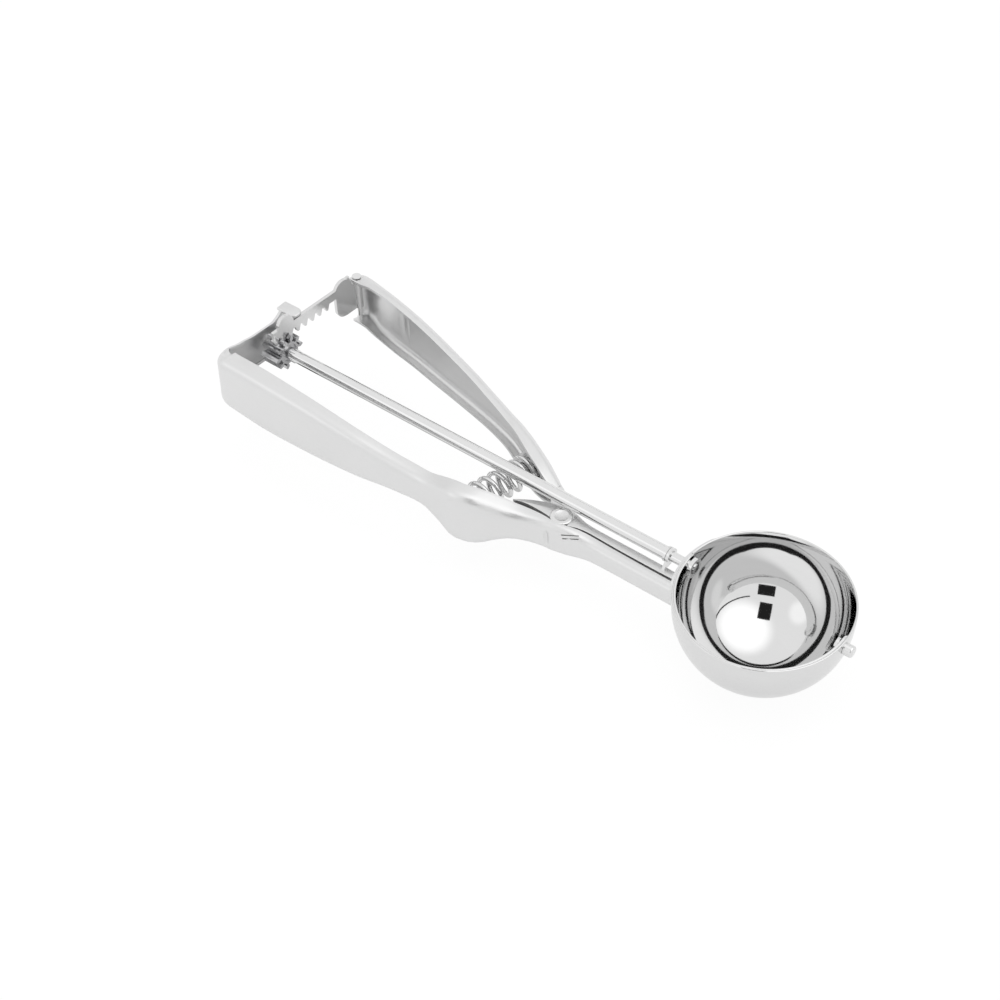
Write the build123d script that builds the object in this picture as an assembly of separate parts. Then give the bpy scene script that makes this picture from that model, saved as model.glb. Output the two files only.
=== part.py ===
from build123d import *
import math
import os

# Lever ice cream scoop, in millimetres.
# Frame: the origin is the centre of the bowl's rim, +X runs from the handles to the front pin,
# +Y points to the lever, and +Z points out of the bowl's mouth.

# ---------------------------------------------------------------- bowl and sweep
bowl_diameter = 50.0          # outside
bowl_wall = 0.6
axis_depth = 2.8              # sweep axis below the rim, which is also the height of the collar
slot_clearance = 0.7          # between the rod's tip and each side of the bowl's slot
blade_gap = 0.35              # between the bowl's inside and the blade
blade_thickness = 0.6
blade_width = 6.8
blade_rest_angle = 2.0        # middle of the parked blade, below the horizontal
running_clearance = 0.05      # radial, in every bearing
pin_shank_diameter = 2.6
pin_head_diameter = 3.5
pin_head_length = 2.7
pin_collar_diameter = 4.2
pin_collar_thickness = 0.8
hub_diameter = 6.0
hub_thickness = 1.3

# ---------------------------------------------------------------- rod, pinion and rack
rod_diameter = 4.0
rod_tip_diameter = 3.0        # narrow front end, through the saddle and the bowl
rod_step_x = -31.6            # where the rod steps down to its tip
rod_collar_diameter = 4.7
rod_collar_width = 0.8
guide_diameter = 4.8
guide_thickness = 0.9
journal_diameter = 3.0        # rear end of the rod, in its bush
gear_module = 1.0
pinion_teeth = 10
pinion_front_x = -173.8
pinion_length = 6.8
pinion_recess_diameter = 6.2
pinion_recess_depth = 0.5
tooth_backlash = 0.36
pressure_angle = 20.0
rack_x = -176.1               # middle of the rack's plate where it crosses the rod
rack_tilt = 4.0               # plan angle between the rack and +Y
rack_thickness = 1.2
rack_back_height = 3.0        # solid strip above the roots of the teeth
rack_first_tooth = -1
rack_last_tooth = 6
stop_lobe_radius = 3.1        # raised free end of the rack, which stops it under the keeper
rack_end_height = 14.0
rack_end_low = -2.7           # bottom of the end plate, from the rod's axis
rack_end_start = 23.0
rack_end_length = 7.2
rack_end_corner = 3.4
hinge_x = -173.55             # upright hinge pin between lever and rack
hinge_drop = 4.1              # from the lever's outer face to the hinge pin
lever_end = 1.7               # lever behind the hinge pin
hinge_pin_diameter = 1.6
hinge_head_diameter = 3.0
hinge_head_height = 0.3
sleeve_diameter = 2.9
sleeve_height = 10.2
flange_clearance = 0.35       # between the rack's end and the lever's flanges
sleeve_low = -5.6
lap_length = 6.5              # tail of the sheet behind the sleeve

# ---------------------------------------------------------------- handles
sheet = 1.0                   # thickness of the pressed handles
rear_x = -183.75              # outer face of the end wall where the rod's axis meets it
wall_lean = 9.0               # the end wall's top leans towards the bowl
wall_toe = 4.0                # and its lever side is nearer the bowl
wall_reach = 9.2              # end wall past the rod's axis, towards the lever
wall_top = 7.4                # top of the end wall above the rod's axis
keeper_width = 4.2            # strap over the rack
keeper_gap = 0.4              # over the rack's back
keeper_front_x = -174.8
lug_radius = 1.5
edge_round = 3.0              # outside radius of the handles' long edges
rear_round = 5.0              # and of the main handle's rear corner
neck_round = 2.2
grip_reach = 24.0             # outer face of the main handle from the rod's axis, at the rear
grip_height = 21.0
waist_reach = 20.4
waist_height = 11.6
guard_reach = 21.9
guard_height = 19.3
collar_height = 10.2          # low swelling that holds the rivet
neck_reach = 8.8
neck_height = 7.4
neck_z = -9.25                # middle of the neck
handle_rise = 0.0605          # the handles' mid-plane rises towards the rear, mm per mm
pivot_x = -64.7               # lever rivet
pivot_y = -4.3
lever_reach = 36.8            # outer face of the lever from the rod's axis, at the rear
lever_waist_reach = 19.4
lever_guard_reach = 14.6
lever_height = 21.3
lever_end_height = 17.7
lever_waist_height = 12.3
lever_guard_height = 16.6
lever_tail_height = 4.4

# ---------------------------------------------------------------- neck, saddle, pivot and spring
plate = 1.0                   # thickness of the neck plate
plate_top = -5.6
seam = 0.2                    # between the neck plate and the handle's flange
saddle_thickness = 0.8
saddle_drop = 0.9             # saddle's top edge below the rim
saddle_low = -13.0
saddle_lever_side = 13.1
saddle_handle_side = -10.0
rivet_diameter = 4.0
rivet_head_diameter = 7.0
rivet_head_height = 0.9
rivet_dimple_diameter = 4.4
rivet_dimple_depth = 0.35
rivet_foot_diameter = 6.6
rivet_foot_height = 1.0
knuckle_radius = 3.9
knuckle_plate = 1.0
knuckle_gap = 0.3             # under the neck plate
spacer_length = 1.8
spacer_diameter = 6.4
axial_gap = 0.15
washer_diameter = 7.0
spring_diameter = 9.8
spring_wire = 1.35
spring_turns = 6.5
spring_z = -10.05
spring_main_x = -93.4
spring_lever_x = -87.2
seat_rise = 4.7               # from the outer face of each guard to its spring seat
spring_seat_gap = 0.08
seat_diameter = 9.8
seat_depth = 8.0
spigot_diameter = 5.6
spigot_length = 2.6

# ---------------------------------------------------------------- worked out from the sizes above
hinge_y = lever_reach - hinge_drop
spring_main_y = seat_rise - guard_reach
spring_lever_y = lever_guard_reach - seat_rise
rod_z = -axis_depth
bowl_radius = bowl_diameter / 2
saddle_radius = bowl_radius + saddle_thickness
blade_radius = bowl_radius - bowl_wall - blade_gap
blade_inside = blade_radius - blade_thickness
pitch_radius = gear_module * pinion_teeth / 2
pinion_rear_x = pinion_front_x - pinion_length
far = 60.0                    # longer than any cut needs
ball = Pos(0, 0, rod_z)

parts = {}


def rod_cylinder(diameter, start, end):
    """A round bar on the sweep axis, from x = start to x = end."""
    return Pos((start + end) / 2, 0, rod_z) * Rot(0, 90, 0) * Cylinder(diameter / 2, abs(end - start))


def upright(x, y, diameter, low, high):
    """A vertical round bar from z = low to z = high."""
    return Pos(x, y, (low + high) / 2) * Cylinder(diameter / 2, high - low)


def block(low, high):
    """A box between two corners."""
    size = [b - a for a, b in zip(low, high)]
    centre = [(a + b) / 2 for a, b in zip(low, high)]
    return Pos(*centre) * Box(*size)


# ---------------------------------------------------------------- bowl
def bowl_form(radius):
    """A short collar under the rim, with half a ball below it."""
    collar = Pos(0, 0, rod_z / 2) * Cylinder(radius, axis_depth)
    below = block((-far, -far, -far), (far, far, rod_z))
    return collar + (ball * Sphere(radius) & below)


def make_bowl():
    shell = bowl_form(bowl_radius) - bowl_form(bowl_radius - bowl_wall)
    slot_width = rod_tip_diameter + 2 * slot_clearance
    slot = rod_cylinder(slot_width, -bowl_radius - 2, -bowl_radius / 2)
    slot += block((-bowl_radius - 2, -slot_width / 2, rod_z), (-bowl_radius / 2, slot_width / 2, 1))
    return shell - slot - rod_cylinder(pin_shank_diameter, 0, far)


def make_saddle():
    """A plate wrapped round the bowl, which ends the neck and carries the rod's tip."""
    patch = block(
        (-saddle_radius - 1, saddle_handle_side, saddle_low),
        (-bowl_radius / 2, saddle_lever_side, -saddle_drop),
    )
    patch = fillet(patch.edges().filter_by(Axis.X), edge_round)
    shell = (bowl_form(saddle_radius) - bowl_form(bowl_radius)) & patch
    hole = rod_tip_diameter + 2 * running_clearance
    return shell - rod_cylinder(hole, -far, 0)


# ---------------------------------------------------------------- sweep body
def make_blade():
    """Half a hoop cut from a thin ball, with a round eye at each end of the sweep axis."""
    hoop = Sphere(blade_radius) - Sphere(blade_inside)
    band = block((-far, -far, -blade_width / 2), (far, 0, blade_width / 2))
    eyes = Rot(0, 90, 0) * Cylinder(blade_width / 2, 2 * far)
    blade = hoop & (band + eyes)
    blade = ball * Rot(blade_rest_angle, 0, 0) * blade
    front_eye = pin_shank_diameter + 2 * running_clearance
    blade -= rod_cylinder(front_eye, 0, far)
    return blade - rod_cylinder(rod_tip_diameter, -far, 0)


def make_rod():
    bush_end = rear_x - 1.4
    ring_end = bush_end - 1.6
    rod = rod_cylinder(rod_diameter, pinion_rear_x - 0.4, rod_step_x)
    rod += rod_cylinder(journal_diameter, ring_end, pinion_rear_x)
    return rod + rod_cylinder(rod_tip_diameter, rod_step_x - 0.5, hub_inner_x + 0.3)


def pinion_outline():
    """Ten involute teeth with narrow roots."""
    base = pitch_radius * math.cos(math.radians(pressure_angle))
    tip = pitch_radius + 0.92 * gear_module
    root = pitch_radius - 1.2 * gear_module
    rolled = math.tan(math.radians(pressure_angle)) - math.radians(pressure_angle)
    half = math.pi / (2 * pinion_teeth) + rolled - tooth_backlash / (4 * pitch_radius)
    flank = []
    for step in range(5):
        radius = base + (tip - base) * step / 4
        turn = math.sqrt((radius / base) ** 2 - 1)
        flank.append((radius, half - (turn - math.atan(turn))))
    right = [(root - 0.3, half - 0.07), (root + 0.4, half - 0.07)] + flank
    left = [(radius, -angle) for radius, angle in reversed(right)]
    outline = Circle(root)
    for tooth in range(pinion_teeth):
        turned = math.pi / 2 + math.pi / pinion_teeth + tooth * 2 * math.pi / pinion_teeth
        points = [(r * math.cos(a + turned), r * math.sin(a + turned)) for r, a in right + left]
        outline += make_face(Polyline(*points, close=True))
    return outline


def make_pinion():
    lying = Plane(origin=(pinion_rear_x, 0, rod_z), x_dir=(0, 1, 0), z_dir=(1, 0, 0))
    gear = extrude(lying * pinion_outline(), pinion_length)
    recess = rod_cylinder(pinion_recess_diameter, pinion_front_x - pinion_recess_depth, pinion_front_x + 1)
    return gear - recess - rod_cylinder(rod_diameter, -far * 4, 0)


hub_inner_x = -blade_inside + hub_thickness


def make_sweep_parts():
    parts["sweep_blade"] = make_blade()
    hub = rod_cylinder(hub_diameter, -blade_radius, hub_inner_x)
    hub &= ball * Sphere(blade_inside)
    parts["blade_hub"] = hub - rod_cylinder(rod_tip_diameter, -far, 0)
    parts["drive_rod"] = make_rod()
    collar_end = rod_step_x + rod_collar_width
    collar = rod_cylinder(rod_collar_diameter, rod_step_x, collar_end)
    parts["rod_collar"] = collar - rod_cylinder(rod_tip_diameter, -far, 0)
    parts["drive_pinion"] = make_pinion()
    ring_front = rear_x - 1.4 - axial_gap
    ring = rod_cylinder(journal_diameter + 2.4, ring_front - 0.9, ring_front)
    parts["rod_end_ring"] = ring - rod_cylinder(journal_diameter, -far * 4, 0)


# ---------------------------------------------------------------- handles
def middle_z(x):
    """Height of the handles' mid-plane."""
    return neck_z + handle_rise * max(0.0, pivot_x - x)


def bend(x, corner, turn):
    """An arc of a handle's section: its start, a point on it and its end."""
    start, end, centre, radius = corner
    diagonal = radius * math.sqrt(0.5)
    middle = (x, centre[0] + turn[0] * diagonal, centre[1] + turn[1] * diagonal)
    return ThreePointArc((x, *start), middle, (x, *end))


def filled_section(x, web, depth, height, corner):
    """Closed outline at x, square at the free edge and round at the web."""
    out = 1 if web > 0 else -1
    edge = web - out * depth
    inner = web - out * corner
    top = middle_z(x) + height / 2
    low = middle_z(x) - height / 2
    return Wire([
        Line((x, edge, top), (x, inner, top)),
        bend(x, ((inner, top), (web, top - corner), (inner, top - corner), corner), (out, 1)),
        Line((x, web, top - corner), (x, web, low + corner)),
        bend(x, ((web, low + corner), (inner, low), (inner, low + corner), corner), (out, -1)),
        Line((x, inner, low), (x, edge, low)),
        Line((x, edge, low), (x, edge, top)),
    ])


def channel_section(x, web, depth, height, corner):
    """Outline of the sheet itself at x: a web with a flange above and below."""
    out = 1 if web > 0 else -1
    edge = web - out * depth
    inner = web - out * corner
    face = web - out * sheet
    bent = corner - sheet
    top = middle_z(x) + height / 2
    low = middle_z(x) - height / 2
    under = top - sheet
    floor = low + sheet
    return Wire([
        Line((x, edge, top), (x, inner, top)),
        bend(x, ((inner, top), (web, top - corner), (inner, top - corner), corner), (out, 1)),
        Line((x, web, top - corner), (x, web, low + corner)),
        bend(x, ((web, low + corner), (inner, low), (inner, low + corner), corner), (out, -1)),
        Line((x, inner, low), (x, edge, low)),
        Line((x, edge, low), (x, edge, floor)),
        Line((x, edge, floor), (x, inner, floor)),
        bend(x, ((inner, floor), (face, low + corner), (inner, low + corner), bent), (out, -1)),
        Line((x, face, low + corner), (x, face, top - corner)),
        bend(x, ((face, top - corner), (inner, under), (inner, top - corner), bent), (out, 1)),
        Line((x, inner, under), (x, edge, under)),
        Line((x, edge, under), (x, edge, top)),
    ])


def slopes(x, y):
    """Slope at each station, flat at a crest, so that nothing swells between two stations."""
    steps = [(y[i + 1] - y[i]) / (x[i + 1] - x[i]) for i in range(len(x) - 1)]
    inner = [0.0 if a * b <= 0 else 2 * a * b / (a + b) for a, b in zip(steps, steps[1:])]
    return [steps[0]] + inner + [steps[-1]]


def evenly(stations, spacing):
    """The same handle at equal steps along its length."""
    columns = list(zip(*stations))
    x = columns[0]
    count = max(1, round((x[-1] - x[0]) / spacing))
    slope = [slopes(x, column) for column in columns]
    result = []
    for step in range(count + 1):
        at = x[0] + (x[-1] - x[0]) * step / count
        i = max(k for k in range(len(x) - 1) if x[k] <= at + 1e-9)
        width = x[i + 1] - x[i]
        t = (at - x[i]) / width
        values = [at]
        for column, m in zip(columns[1:], slope[1:]):
            values.append(
                column[i] * (1 + 2 * t) * (1 - t) ** 2
                + column[i + 1] * t * t * (3 - 2 * t)
                + width * (m[i] * t * (1 - t) ** 2 - m[i + 1] * t * t * (1 - t))
            )
        result.append(tuple(values))
    return result


def channel(stations, ruled=False):
    """The pressed sheet through the stations."""
    return Solid.make_loft([channel_section(*station) for station in stations], ruled)


def inside_form(stations, ruled=False):
    """The space between the flanges, running out past their free edges."""
    sections = []
    for x, web, depth, height, corner in stations:
        out = 1 if web > 0 else -1
        sections.append(filled_section(x, web - out * sheet, depth + 4, height - 2 * sheet, corner - sheet))
    return Solid.make_loft(sections, ruled)


# x, outer face of the web, depth of the flanges, height, corner radius
rear_stations = [
    (rear_x - 8, -grip_reach, 6.0, grip_height - 1.4, edge_round),
    (rear_x + 18, -grip_reach, 6.0, grip_height, edge_round),
]

grip_stations = [
    (rear_x + 18, -grip_reach, 6.0, grip_height, edge_round),
    (rear_x + 34, -grip_reach + 0.5, 5.5, grip_height - 0.9, edge_round),
    (pivot_x - 65, -waist_reach - 2.2, 5.0, grip_height - 4.3, edge_round),
    (pivot_x - 50, -waist_reach - 0.8, 4.7, waist_height + 1.2, edge_round),
    (pivot_x - 40, -waist_reach, 4.6, waist_height, edge_round),
    (pivot_x - 33, -guard_reach + 0.9, 5.3, guard_height - 3.9, edge_round),
    (pivot_x - 27, -guard_reach, 5.9, guard_height, edge_round),
    (pivot_x - 22.5, -guard_reach + 0.9, 6.3, guard_height - 0.2, edge_round),
    (pivot_x - 19, -guard_reach + 2.4, 6.5, guard_height - 2.0, edge_round),
    (pivot_x - 15, -guard_reach + 5.0, 6.1, guard_height - 5.8, edge_round),
    (pivot_x - 11, -neck_reach - 5.8, 5.5, collar_height + 0.8, 2.8),
    (pivot_x - 7, -neck_reach - 3.9, 4.5, collar_height, 2.5),
    (pivot_x - 3, -neck_reach - 2.5, 3.4, collar_height + 0.1, neck_round),
    (pivot_x + 1, -neck_reach - 1.6, 2.5, collar_height, neck_round),
    (pivot_x + 5, -neck_reach - 0.7, 2.6, collar_height - 0.8, neck_round),
    (pivot_x + 11, -neck_reach, 3.3, neck_height + 0.6, neck_round),
]

neck_stations = [
    (pivot_x + 11, -neck_reach, 3.3, neck_height + 0.6, neck_round),
    (pivot_x + 20, -neck_reach, 3.8, neck_height, neck_round),
    (pivot_x + 32, -neck_reach, 3.6, neck_height, neck_round),
    (pivot_x + 46, -neck_reach, 3.2, neck_height, neck_round),
]

lever_stations = [
    (hinge_x - 6, lever_reach - 0.1, 6.0, lever_end_height, edge_round),
    (hinge_x + 2, lever_reach - 0.2, 6.0, lever_end_height, edge_round),
    (hinge_x + 8, lever_reach - 1.8, 4.8, lever_height - 1.0, edge_round),
    (hinge_x + 16, lever_reach - 3.4, 4.3, lever_height, edge_round),
    (hinge_x + 26, lever_reach - 5.1, 4.3, lever_height - 0.8, edge_round),
    (hinge_x + 36, lever_reach - 7.3, 4.3, lever_height - 1.9, edge_round),
    (hinge_x + 46, lever_reach - 9.7, 4.2, lever_height - 3.7, edge_round),
    (hinge_x + 56, lever_waist_reach + 5.2, 4.2, lever_height - 5.7, edge_round),
    (pivot_x - 43.3, lever_waist_reach + 2.5, 4.3, lever_waist_height + 1.0, edge_round),
    (pivot_x - 35.3, lever_waist_reach, 4.6, lever_waist_height, edge_round),
    (pivot_x - 29.3, lever_guard_reach + 2.6, 5.0, lever_guard_height - 2.3, edge_round),
    (pivot_x - 23.3, lever_guard_reach, 5.6, lever_guard_height, edge_round),
    (pivot_x - 18.3, lever_guard_reach - 2.3, 5.8, lever_guard_height - 1.9, edge_round),
    (pivot_x - 13.3, lever_guard_reach - 4.8, 5.6, lever_guard_height - 5.6, 2.8),
    (pivot_x - 9.3, pivot_y + 11.9, 4.6, lever_tail_height + 3.2, 2.2),
    (pivot_x - 6.3, pivot_y + 10.1, 3.8, lever_tail_height, 1.8),
]


def wall_frame():
    """The outer face of the end wall: local x towards the lever, local y up, local z to the bowl."""
    lean = math.radians(wall_lean)
    toe = math.radians(wall_toe)
    along = (math.sin(toe), math.cos(toe), 0)
    normal = (
        math.cos(toe) * math.cos(lean),
        -math.sin(toe) * math.cos(lean),
        -math.cos(toe) * math.sin(lean),
    )
    return Plane(origin=(rear_x, 0, rod_z), x_dir=along, z_dir=normal)


wall_plane = wall_frame()
wall_depth = 9.0              # how far forward the rounded rear corner is trimmed


def rear_trim(inset):
    """What lies outside the rounded rear corner of the main handle."""
    height = grip_height - 1.6 - 2 * inset
    radius = rear_round - inset
    side = -grip_reach + inset
    offset = middle_z(rear_x) - rod_z
    room = Box(
        far, height, wall_depth - inset,
        align=(Align.MIN, Align.CENTER, Align.MIN),
    )
    rear = room.faces().sort_by(Axis.Z)[0]
    edges = rear.edges().filter_by(Axis.X) + rear.edges().filter_by(Axis.Y).sort_by(Axis.X)[:1]
    room = fillet(edges, radius)
    room = wall_plane * Pos(side - 0.05, offset, inset) * room
    slab = wall_plane * Pos(0, 0, wall_depth - far) * Box(
        2 * far, 2 * far, far, align=(Align.CENTER, Align.CENTER, Align.MIN)
    )
    return slab - room


def make_end_wall():
    """The wall across the rear of the main handle, with the riser of the keeper on its end."""
    low = middle_z(rear_x) - rod_z - grip_height / 2 + 2.6
    keeper_base = wall_reach - keeper_width - 2.6
    keeper_top = keeper_height + sheet
    outline = make_face(Polyline(
        (-grip_reach + 4, low),
        (wall_reach - 3.0, low + 1.2),
        (wall_reach, low + 4.2),
        (wall_reach, keeper_top),
        (keeper_base + 1.6, keeper_top),
        (keeper_base, wall_top + 0.2),
        (-2.0, wall_top),
        (-grip_reach + 4, wall_top + 2.2),
        close=True,
    ))
    wall = extrude(wall_plane * outline, sheet)
    lug = wall_plane * Pos(-6.0, -4.2, sheet) * Cylinder(lug_radius, 0.9, align=(Align.CENTER,) * 2 + (Align.MIN,))
    return wall + lug


keeper_height = pitch_radius + 1.2 * gear_module + rack_back_height + keeper_gap


def make_keeper():
    """The strap from the end wall over the back of the rack, rounded like a bent tab."""
    low = rod_z + keeper_height
    rear = rear_x + 1.0
    strap = block((rear, wall_reach - keeper_width, low), (keeper_front_x, wall_reach, low + sheet))
    strap = fillet(strap.edges().filter_by(Axis.Z).sort_by(Axis.X)[-2:], 2.0)
    rounded = strap.faces().sort_by(Axis.Z)[-1].edges().sort_by(Axis.X)[1:]
    return fillet(rounded, 0.4)


def make_main_handle():
    outside = Solid.make_loft([filled_section(*station) for station in rear_stations], True)
    rear = (outside - rear_trim(0.0)) - (inside_form(rear_stations, True) - rear_trim(sheet))
    handle = rear + channel(evenly(grip_stations, 4))
    handle += channel(neck_stations, True)
    handle += make_end_wall()
    handle += make_keeper()
    handle -= bowl_form(saddle_radius)
    handle -= rod_cylinder(bush_diameter, -far * 4, pinion_rear_x)
    return handle - upright(pivot_x, pivot_y, rivet_diameter, -far, 0)


bush_diameter = journal_diameter + 2.0


def make_rear_bush():
    bush = rod_cylinder(bush_diameter, rear_x - 1.4, pinion_rear_x - 0.4 - axial_gap)
    return bush - rod_cylinder(journal_diameter + 2 * running_clearance, -far * 4, 0)


def make_lever():
    handle = channel(evenly(lever_stations, 4))
    end_round = 4.4               # radius of the lever's rounded rear end
    end_x = hinge_x - lever_end + end_round
    behind = block((hinge_x - far, 0, -far), (end_x, far, far))
    handle -= behind - upright(end_x, lever_reach - end_round, 2 * end_round, -far, far)
    handle = handle.solids().sort_by(SortBy.VOLUME)[-1]
    handle += make_knuckle()
    pin_hole = upright(hinge_x, hinge_y, hinge_pin_diameter, -far, far)
    rivet_hole = upright(pivot_x, pivot_y, rivet_diameter + 2 * running_clearance, -far, 0)
    return handle - pin_hole - rivet_hole


knuckle_top = plate_top - plate - knuckle_gap
knuckle_low = knuckle_top - 2 * knuckle_plate - spacer_length - 2 * axial_gap


def make_knuckle():
    """Two flat eyes of the lever round the rivet, and the thick tail that carries them."""
    tail_x = pivot_x - 7.5
    tail_y = pivot_y + 8.2
    outline = make_face(Polyline(
        (tail_x - 5.3, tail_y + 5.3),
        (tail_x + 1.2, tail_y + 1.7),
        (tail_x + 3.2, tail_y - 0.8),
        (tail_x + 1.9, tail_y - 2.7),
        (tail_x - 1.3, tail_y - 2.0),
        (tail_x - 5.3, tail_y + 0.6),
        close=True,
    ))
    tail_top = knuckle_top + 0.6
    tail_low = knuckle_low - 0.7
    tail = Pos(0, 0, tail_low) * extrude(outline, tail_top - tail_low)
    run = math.hypot(tail_x - pivot_x, tail_y - pivot_y)
    side_x = (tail_y - pivot_y) / run * knuckle_radius
    side_y = -(tail_x - pivot_x) / run * knuckle_radius
    arm = Pos(pivot_x, pivot_y) * Circle(knuckle_radius) + make_face(Polyline(
        (pivot_x + side_x, pivot_y + side_y),
        (tail_x + 2.4, tail_y - 1.2),
        (tail_x + 0.4, tail_y - 0.2),
        (tail_x - 0.8, tail_y - 1.2),
        (pivot_x - side_x, pivot_y - side_y),
        close=True,
    ))
    upper = Pos(0, 0, knuckle_top - knuckle_plate) * extrude(arm, knuckle_plate)
    lower = Pos(0, 0, knuckle_low) * extrude(arm, knuckle_plate)
    return tail + upper + lower


# ---------------------------------------------------------------- neck plate and pivot
def make_neck_plate():
    """Inner half of the neck: a top plate round the rivet, a web under the rod and a foot."""
    near = Spline(
        (pivot_x + 46, -neck_reach + 3.2 + seam),
        (pivot_x + 32, -neck_reach + 3.6 + seam),
        (pivot_x + 20, -neck_reach + 3.8 + seam),
        (pivot_x + 10, -neck_reach + 3.1 + seam),
        (pivot_x + 4, -neck_reach + 1.7 + seam),
        (pivot_x - 2, -neck_reach + 0.8 + seam),
    )
    tip = (pivot_x - 9.9, pivot_y + 0.9)
    far_side = Spline(
        tip,
        (pivot_x - 5.8, pivot_y + 2.8),
        (pivot_x, pivot_y + 4.3),
        (pivot_x + 7, pivot_y + 4.8),
        (pivot_x + 18, pivot_y + 3.4),
        (pivot_x + 29, pivot_y + 2.5),
        (pivot_x + 46, pivot_y + 2.6),
    )
    outline = make_face([near, Line(near @ 1, tip), far_side, Line(far_side @ 1, near @ 0)])
    top = Pos(0, 0, plate_top - plate) * extrude(outline, plate)
    web_side = pivot_y + 2.4
    floor = neck_z - neck_height / 2 + sheet
    web = block((pivot_x + 19, web_side - plate, floor), (pivot_x + 46, web_side, plate_top - plate))
    foot = block((pivot_x + 19, -neck_reach + neck_round + 0.4, floor), (pivot_x + 46, web_side, floor + plate))
    neck = top + web + foot - bowl_form(saddle_radius)
    return neck - upright(pivot_x, pivot_y, rivet_diameter, -far, 0)


def make_rod_guide():
    """An ear on the neck plate with the front bearing of the rod."""
    behind = rod_step_x + rod_collar_width + axial_gap
    lying = Plane(origin=(behind, 0, rod_z), x_dir=(0, 1, 0), z_dir=(1, 0, 0))
    foot = plate_top - rod_z
    outline = Circle(guide_diameter / 2) + make_face(Polyline(
        (-guide_diameter / 2 - 1.6, foot),
        (-guide_diameter / 2, -0.4),
        (0, 0),
        (-0.2, foot),
        close=True,
    ))
    ear = extrude(lying * outline, guide_thickness) - block((-far, -far, -far), (0, far, plate_top))
    return ear - rod_cylinder(rod_tip_diameter + 2 * running_clearance, -far, 0)


def make_rivet():
    dome = Pos(pivot_x, pivot_y, plate_top) * Cylinder(
        rivet_head_diameter / 2, rivet_head_height, align=(Align.CENTER, Align.CENTER, Align.MIN)
    )
    dome = fillet(dome.edges().sort_by(Axis.Z)[-1:], 0.6 * rivet_head_height)
    dimple_top = plate_top + rivet_head_height
    dimple_ball = (rivet_dimple_diameter / 2) ** 2 / (2 * rivet_dimple_depth) + rivet_dimple_depth / 2
    dome -= Pos(pivot_x, pivot_y, dimple_top + dimple_ball - rivet_dimple_depth) * Sphere(dimple_ball)
    foot_low = middle_z(pivot_x) - collar_height / 2 - rivet_foot_height
    foot = upright(pivot_x, pivot_y, rivet_foot_diameter, foot_low, foot_low + rivet_foot_height - 0.1)
    shank = upright(pivot_x, pivot_y, rivet_diameter, foot_low, plate_top + 0.2)
    return dome + shank + foot


def make_pivot_parts():
    parts["pivot_rivet"] = make_rivet()
    bore = upright(pivot_x, pivot_y, rivet_diameter, -far, 0)
    low = knuckle_low + knuckle_plate + axial_gap
    parts["pivot_spacer"] = upright(pivot_x, pivot_y, spacer_diameter, low, low + spacer_length) - bore
    floor = middle_z(pivot_x) - collar_height / 2
    washer = upright(pivot_x, pivot_y, washer_diameter, floor + sheet, knuckle_low - axial_gap)
    parts["pivot_washer"] = washer - bore


# ---------------------------------------------------------------- rack
def make_rack():
    """A toothed plate with a raised stop at one end and a rolled hinge sleeve at the other."""
    tilt = math.radians(rack_tilt)
    lying = Plane(
        origin=(rack_x, 0, rod_z),
        x_dir=(math.sin(tilt), math.cos(tilt), 0),
        z_dir=(math.cos(tilt), -math.sin(tilt), 0),
    )
    pitch = math.pi * gear_module
    root = pitch_radius + 1.2 * gear_module
    tip = pitch_radius - 0.9 * gear_module
    slope = math.tan(math.radians(pressure_angle))
    half = pitch / 4 - tooth_backlash / 4
    start = rack_first_tooth * pitch - half
    back = root + rack_back_height
    outline = Pos((start + rack_end_start + 2) / 2, (root + back) / 2) * Rectangle(
        rack_end_start + 2 - start, rack_back_height
    )
    for tooth in range(rack_first_tooth, rack_last_tooth + 1):
        at = tooth * pitch
        wide = half + (root + 0.1 - pitch_radius) * slope
        narrow = half - (pitch_radius - tip) * slope
        outline += make_face(Polyline(
            (at - wide, root + 0.1), (at - narrow, tip), (at + narrow, tip), (at + wide, root + 0.1),
            close=True,
        ))
    outline += Pos(1.7, root + stop_lobe_radius + 0.4) * Circle(stop_lobe_radius)
    hinge_along = (hinge_x - rack_x) * math.sin(tilt) + hinge_y * math.cos(tilt)
    end_middle = rack_end_low + rack_end_height / 2
    end_plate = RectangleRounded(rack_end_length, rack_end_height, rack_end_corner)
    outline += Pos(rack_end_start + rack_end_length / 2, end_middle) * end_plate
    strap_middle = sleeve_low - rod_z + sleeve_height / 2
    strap_start = rack_end_start + rack_end_corner
    strap = Rectangle(hinge_along - strap_start, sleeve_height)
    outline += Pos((strap_start + hinge_along) / 2, strap_middle) * strap
    rack = extrude(lying * outline, rack_thickness / 2, both=True)
    hinge_side = (hinge_x - rack_x) * math.cos(tilt) - hinge_y * math.sin(tilt)
    lap = Pos(hinge_along - lap_length / 2, end_middle + 0.4) * RectangleRounded(
        lap_length, rack_end_height - 2.4, 2.6
    )
    rack += extrude(lying.offset(hinge_side - sleeve_diameter / 2) * lap, 0.9)
    flange_edge = lever_reach - 6.3 - flange_clearance
    over = sleeve_low + sleeve_height
    rack -= block((hinge_x - 9, flange_edge, over), (hinge_x + 9, far, far))
    rack -= block((hinge_x - 9, flange_edge, -far), (hinge_x + 9, far, sleeve_low))
    rack += upright(hinge_x, hinge_y, sleeve_diameter, sleeve_low, over)
    bore = hinge_pin_diameter + 2 * running_clearance
    rack -= upright(hinge_x, hinge_y, bore, -far, far)
    return rack.solids().sort_by(SortBy.VOLUME)[-1]


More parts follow.
